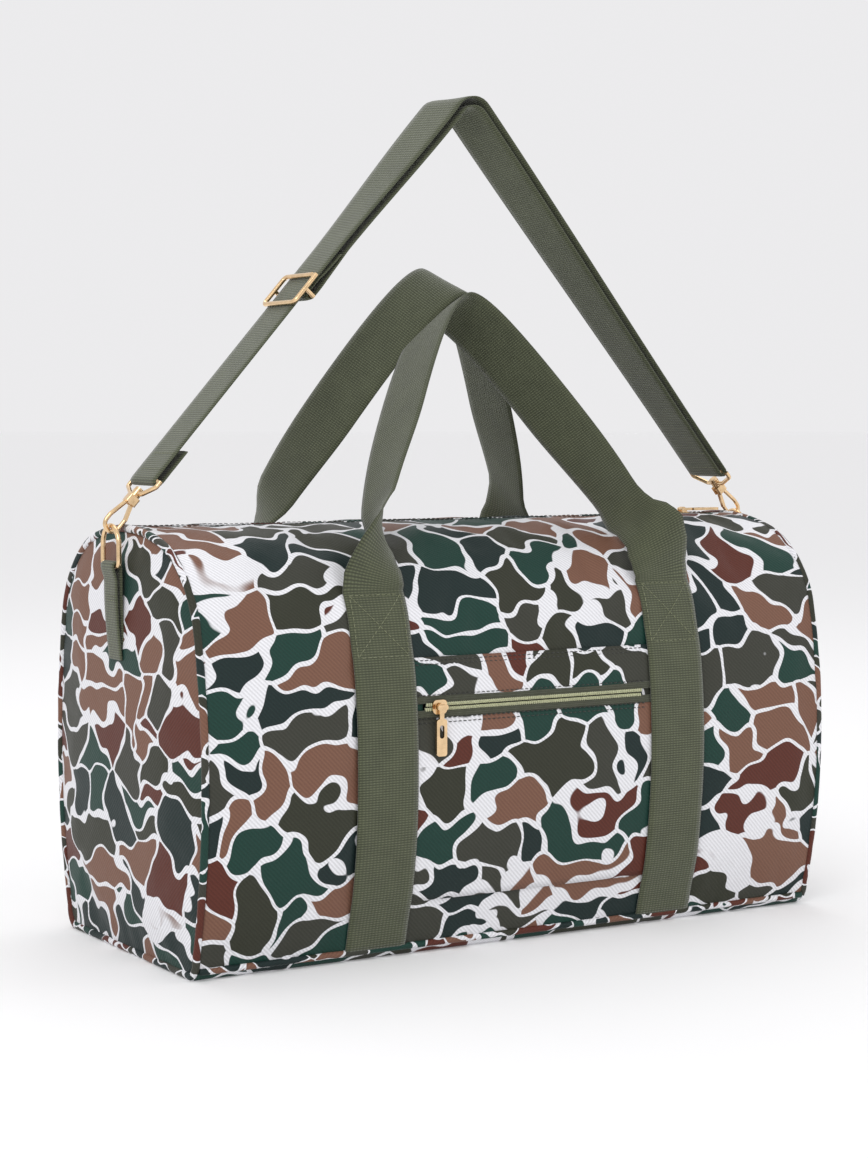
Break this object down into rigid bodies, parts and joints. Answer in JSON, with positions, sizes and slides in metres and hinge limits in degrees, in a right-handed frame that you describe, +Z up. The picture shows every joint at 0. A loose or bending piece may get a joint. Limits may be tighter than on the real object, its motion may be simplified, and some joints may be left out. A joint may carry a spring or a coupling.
{
  "type": "duffel bag",
  "caption": "Soft printed duffel bag with an arched top, two webbing carry handles, a zipped front pocket and a clip-on shoulder strap.",
  "frame": {"origin": "on the floor, at the middle of the base", "axes": "+X along the length of the bag, -Y towards the front pocket, +Z up"},
  "size_m": [0.5375, 0.2464, 0.5916],
  "materials": {
    "camo_twill": "printed polyester twill, organic blotches on white, slight sheen",
    "webbing": "ribbed olive webbing",
    "piping": "printed twill over cord",
    "lining_cloth": "plain woven lining",
    "zip_tape": "knitted zip tape",
    "zip_coil": "pale sage nylon coil",
    "gold_metal": "polished light gold plating",
    "board": "stiff base board"
  },
  "bodies": {
    "bag": {"front_panel": "camo_twill", "back_panel": "camo_twill", "bottom_panel": "camo_twill", "end_panel_left": "camo_twill", "end_panel_right": "camo_twill", "end_piping_left": "piping", "end_piping_right": "piping", "bottom_piping_front": "piping", "bottom_piping_back": "piping", "lining": "lining_cloth", "base_board": "board", "main_zip_tape_front": "zip_tape", "main_zip_tape_back": "zip_tape", "main_zip_teeth": "zip_coil", "main_zip_stops": "gold_metal", "pocket_front_panel": "camo_twill", "pocket_top_strip": "camo_twill", "pocket_lining": "lining_cloth", "pocket_zip_tape_lower": "zip_tape", "pocket_zip_tape_upper": "zip_tape", "pocket_zip_teeth": "zip_coil", "front_strap_left": "webbing", "front_strap_right": "webbing", "back_strap_left": "webbing", "back_strap_right": "webbing", "ring_tab_left": "webbing", "ring_tab_right": "webbing"},
    "front_handle": {"front_handle_loop": "webbing"},
    "back_handle": {"back_handle_loop": "webbing"},
    "main_slider": {"main_zip_slider": "gold_metal"},
    "main_pull": {"main_zip_pull": "gold_metal"},
    "pocket_slider": {"pocket_zip_slider": "gold_metal"},
    "pocket_pull": {"pocket_zip_pull": "gold_metal"},
    "left_ring": {"ring_left": "gold_metal"},
    "right_ring": {"ring_right": "gold_metal"},
    "shoulder_strap": {"shoulder_webbing": "webbing", "clasp_loop_left": "gold_metal", "clasp_loop_right": "gold_metal"},
    "adjuster": {"adjuster_frame": "gold_metal", "adjuster_bar": "gold_metal", "adjuster_webbing_end": "webbing"},
    "left_hook": {"clasp_hook_left": "gold_metal", "clasp_gate_pin_left": "gold_metal"},
    "right_hook": {"clasp_hook_right": "gold_metal", "clasp_gate_pin_right": "gold_metal"},
    "left_gate": {"clasp_gate_left": "gold_metal"},
    "right_gate": {"clasp_gate_right": "gold_metal"}
  },
  "joints": [
    {"name": "front_handle_swing", "type": "hinge", "parent": "bag", "child": "front_handle", "pos_m": [0, -0.103, 0.248], "axis": [1, 0, 0], "range_deg": [0, 140]},
    {"name": "back_handle_swing", "type": "hinge", "parent": "bag", "child": "back_handle", "pos_m": [0, 0.103, 0.248], "axis": [-1, 0, 0], "range_deg": [0, 140]},
    {"name": "main_zip_slide", "type": "slide", "parent": "bag", "child": "main_slider", "axis": [1, 0, 0], "range_m": [-0.426, 0]},
    {"name": "main_zip_pull_flip", "type": "hinge", "parent": "main_slider", "child": "main_pull", "pos_m": [0.213, 0, 0.2929], "axis": [0, 1, 0], "range_deg": [-170, 0]},
    {"name": "pocket_zip_slide", "type": "slide", "parent": "bag", "child": "pocket_slider", "axis": [1, 0, 0], "range_m": [0, 0.158]},
    {"name": "pocket_zip_pull_swing", "type": "hinge", "parent": "pocket_slider", "child": "pocket_pull", "pos_m": [-0.079, -0.122, 0.17], "axis": [0, 1, 0], "range_deg": [-80, 80]},
    {"name": "shoulder_strap_swing", "type": "hinge", "parent": "bag", "child": "shoulder_strap", "pos_m": [0, 0, 0.2883], "axis": [1, 0, 0], "range_deg": [-30, 30]},
    {"name": "adjuster_slide", "type": "slide", "parent": "shoulder_strap", "child": "adjuster", "axis": [0.6653, 0, 0.7465], "range_m": [-0.1, 0]},
    {"name": "left_ring_swing", "type": "hinge", "parent": "bag", "child": "left_ring", "pos_m": [-0.263, 0, 0.264], "axis": [0, 1, 0], "range_deg": [-1, 1]},
    {"name": "left_clasp_swivel", "type": "hinge", "parent": "shoulder_strap", "child": "left_hook", "pos_m": [-0.26534, 0, 0.2883], "axis": [0.6653, 0, 0.7465], "range_deg": [-15, 15]},
    {"name": "left_gate_press", "type": "hinge", "parent": "left_hook", "child": "left_gate", "pos_m": [-0.2474, 0, 0.30633], "axis": [0, -1, 0], "range_deg": [0, 20], "stiffness_Nm_per_rad": 0.002},
    {"name": "right_ring_swing", "type": "hinge", "parent": "bag", "child": "right_ring", "pos_m": [0.263, 0, 0.264], "axis": [0, 1, 0], "range_deg": [-1, 1]},
    {"name": "right_clasp_swivel", "type": "hinge", "parent": "shoulder_strap", "child": "right_hook", "pos_m": [0.26534, 0, 0.2883], "axis": [-0.6428, 0, 0.7661], "range_deg": [-15, 15]},
    {"name": "right_gate_press", "type": "hinge", "parent": "right_hook", "child": "right_gate", "pos_m": [0.24794, 0, 0.30686], "axis": [0, 1, 0], "range_deg": [0, 20], "stiffness_Nm_per_rad": 0.002}
  ]
}
